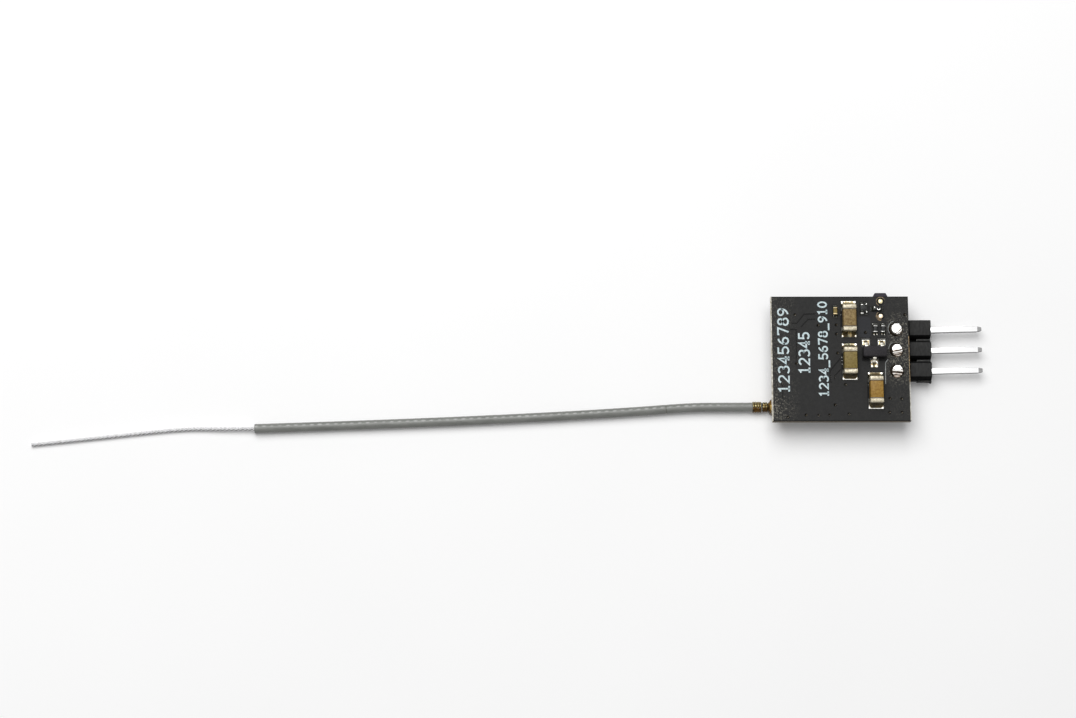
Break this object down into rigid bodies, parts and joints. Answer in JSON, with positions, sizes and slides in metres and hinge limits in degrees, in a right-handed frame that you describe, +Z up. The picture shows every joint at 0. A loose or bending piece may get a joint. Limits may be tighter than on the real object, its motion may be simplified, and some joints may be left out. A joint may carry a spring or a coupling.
{
  "type": "radio control receiver",
  "caption": "Miniature radio-control receiver: bare circuit board with right-angle pin header, side bind button and coaxial wire antenna.",
  "frame": {"origin": "middle of the board, header and button seen from above, on the table they stand on; the antenna lead and its plug are not counted", "axes": "+X along the header pins, away from the antenna; +Y towards the bind button; +Z up, out of the component side"},
  "size_m": [0.1152, 0.0185, 0.0048],
  "materials": {
    "board_laminate": "black solder mask over glass-epoxy laminate",
    "gold_plate": "thin gold plating",
    "tinned_copper": "tinned copper",
    "solder": "bright reflowed solder",
    "end_plating": "tin plating, slightly dull",
    "brown_ceramic": "fired brown ceramic, semi-gloss",
    "resistor_coat": "black overglaze on alumina",
    "package_epoxy": "moulded epoxy",
    "header_nylon": "black glass-filled nylon",
    "button_nylon": "black nylon",
    "pin_metal": "tinned square wire",
    "spring_steel": "thin stainless sheet",
    "crystal_ceramic": "alumina",
    "lens_epoxy": "clear epoxy",
    "insulator_polymer": "liquid crystal polymer",
    "cable_jacket": "grey fluoropolymer over braid",
    "element_wire": "silvered stranded wire"
  },
  "bodies": {
    "receiver": {"circuit_board": "board_laminate", "test_points": "gold_plate", "copper_pads_bottom": "gold_plate", "antenna_socket_shell": "gold_plate", "antenna_socket_pin": "gold_plate", "plug_shell": "gold_plate", "plug_contact": "gold_plate", "copper_pads_top": "tinned_copper", "radio_chip_pads": "tinned_copper", "processor_pads": "tinned_copper", "switch_contacts": "tinned_copper", "cable_shield_end": "tinned_copper", "regulator_leads": "tinned_copper", "header_solder_joints": "solder", "bulk_capacitor_solder": "solder", "regulator_solder": "solder", "small_chip_solder": "solder", "bulk_capacitor_1_terminals": "end_plating", "bulk_capacitor_2_terminals": "end_plating", "bulk_capacitor_3_terminals": "end_plating", "small_chip_terminals": "end_plating", "underside_chip_terminals": "end_plating", "bulk_capacitor_1_body": "brown_ceramic", "bulk_capacitor_2_body": "brown_ceramic", "bulk_capacitor_3_body": "brown_ceramic", "filter_capacitor_body": "brown_ceramic", "decoupling_capacitor_bodies": "brown_ceramic", "pull_up_resistor_body": "resistor_coat", "signal_resistor_body": "resistor_coat", "led_resistor_body": "resistor_coat", "resistor_array_body": "resistor_coat", "matching_part_bodies": "resistor_coat", "regulator_body": "package_epoxy", "radio_chip_body": "package_epoxy", "processor_body": "package_epoxy", "header_housing": "header_nylon", "switch_base": "header_nylon", "header_pin_signal": "pin_metal", "header_pin_power": "pin_metal", "header_pin_ground": "pin_metal", "switch_cover": "spring_steel", "switch_dome": "spring_steel", "crystal_lid": "spring_steel", "crystal_base": "crystal_ceramic", "status_led_base": "crystal_ceramic", "status_led_lens": "lens_epoxy", "antenna_socket_base": "insulator_polymer", "plug_insulator": "insulator_polymer", "cable_core_end": "insulator_polymer", "antenna_cable": "cable_jacket", "antenna_element": "element_wire"},
    "button": {"bind_button": "button_nylon"}
  },
  "joints": [
    {"name": "bind_press", "type": "slide", "parent": "receiver", "child": "button", "axis": [0, -1, 0], "range_m": [0, 0.0002], "stiffness_N_per_m": 200}
  ]
}
